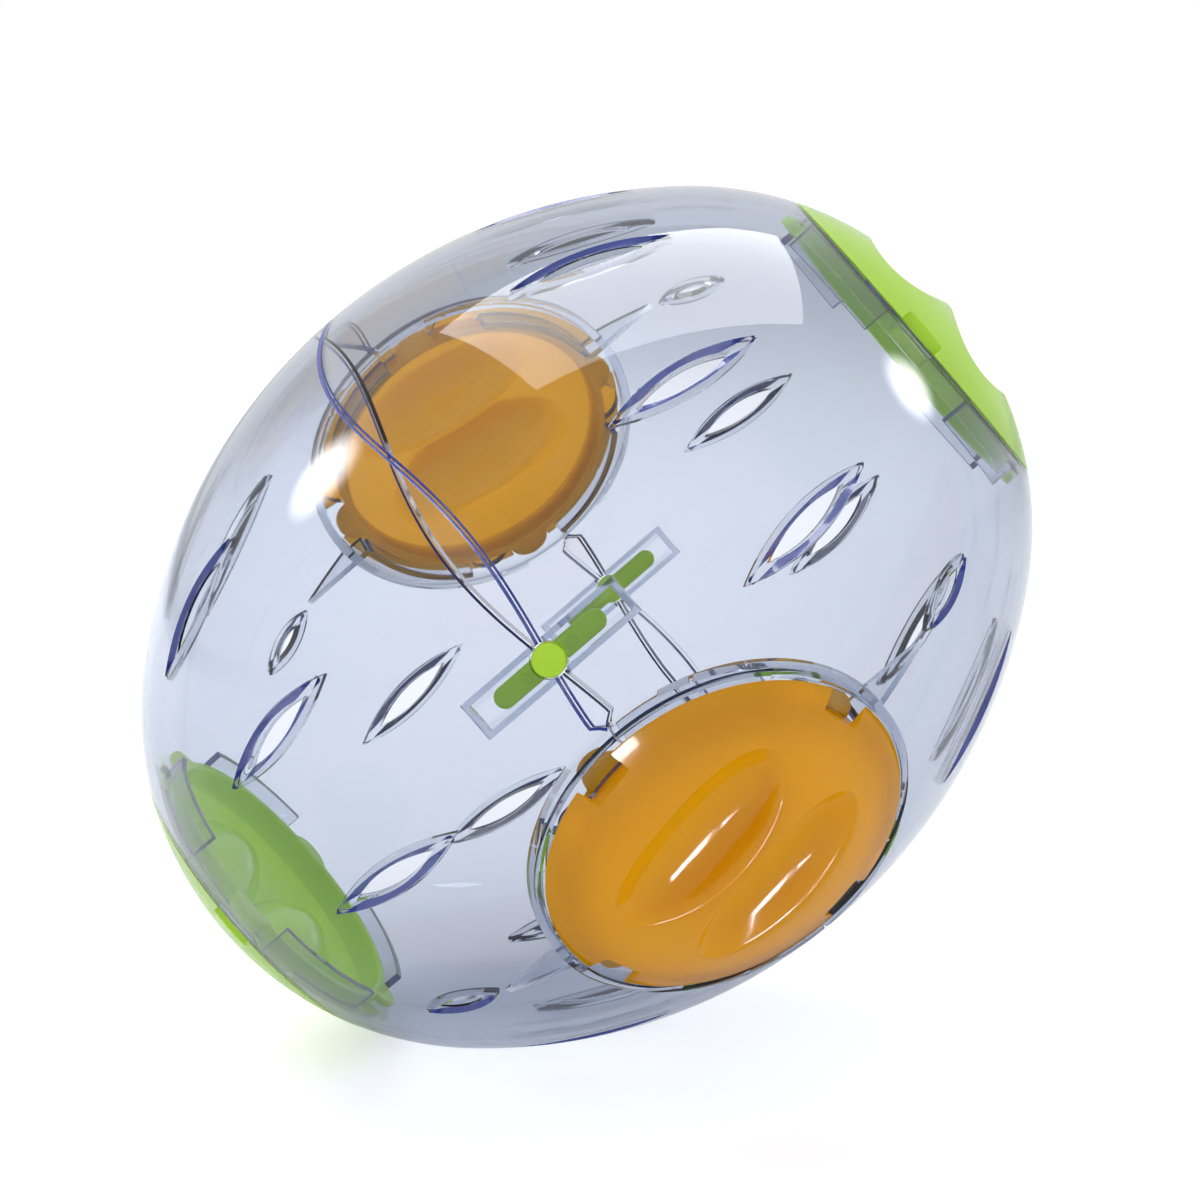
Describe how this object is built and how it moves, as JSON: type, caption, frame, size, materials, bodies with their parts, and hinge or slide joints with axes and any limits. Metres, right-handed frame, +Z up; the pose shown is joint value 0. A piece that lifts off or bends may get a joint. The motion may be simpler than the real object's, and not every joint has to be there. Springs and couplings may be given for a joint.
{
  "type": "hamster ball",
  "caption": "Clear oval exercise ball for a small pet: slotted half shells, twist-in caps at the ends and sides, press latches.",
  "frame": {"origin": "centre of the ball, where its long axis crosses the plane between the two half shells", "axes": "+X along the long axis towards the right end cap, -Y towards the front side cap, +Z up with the ball lying on its side"},
  "size_m": [0.208, 0.1762, 0.17],
  "materials": {
    "clear_shell": "clear moulded plastic with a faint blue-violet tint",
    "orange_plastic": "glossy translucent orange moulded plastic",
    "green_plastic": "glossy translucent apple-green moulded plastic"
  },
  "bodies": {
    "left_half": {"left_shell": "clear_shell"},
    "right_half": {"right_shell": "clear_shell"},
    "left_cap": {"left_cap": "green_plastic"},
    "right_cap": {"right_cap": "green_plastic"},
    "front_cap": {"front_cap": "orange_plastic"},
    "rear_cap": {"rear_cap": "orange_plastic"},
    "front_latch": {"front_latch": "green_plastic"},
    "rear_latch": {"rear_latch": "green_plastic"}
  },
  "joints": [
    {"name": "shells_apart", "type": "slide", "parent": "left_half", "child": "right_half", "axis": [1, 0, 0], "range_m": [0, 0.12]},
    {"name": "left_cap_twist", "type": "hinge", "parent": "left_half", "child": "left_cap", "pos_m": [-0.09346, 0, 0], "axis": [-1, 0, 0], "range_deg": [0, 18]},
    {"name": "right_cap_twist", "type": "hinge", "parent": "right_half", "child": "right_cap", "pos_m": [0.09346, 0, 0], "axis": [1, 0, 0], "range_deg": [0, 18]},
    {"name": "front_cap_twist", "type": "hinge", "parent": "left_half", "child": "front_cap", "pos_m": [0, -0.07759, 0], "axis": [0, -1, 0], "range_deg": [0, 18]},
    {"name": "rear_cap_twist", "type": "hinge", "parent": "left_half", "child": "rear_cap", "pos_m": [0, 0.07759, 0], "axis": [0, 1, 0], "range_deg": [0, 18]},
    {"name": "front_latch_press", "type": "slide", "parent": "left_half", "child": "front_latch", "axis": [0, 0.7627, -0.6468], "range_m": [0, 0.0015], "stiffness_N_per_m": 400, "springref_m": -0.001},
    {"name": "rear_latch_press", "type": "slide", "parent": "left_half", "child": "rear_latch", "axis": [0, -0.7627, 0.6468], "range_m": [0, 0.0015], "stiffness_N_per_m": 400, "springref_m": -0.001}
  ]
}
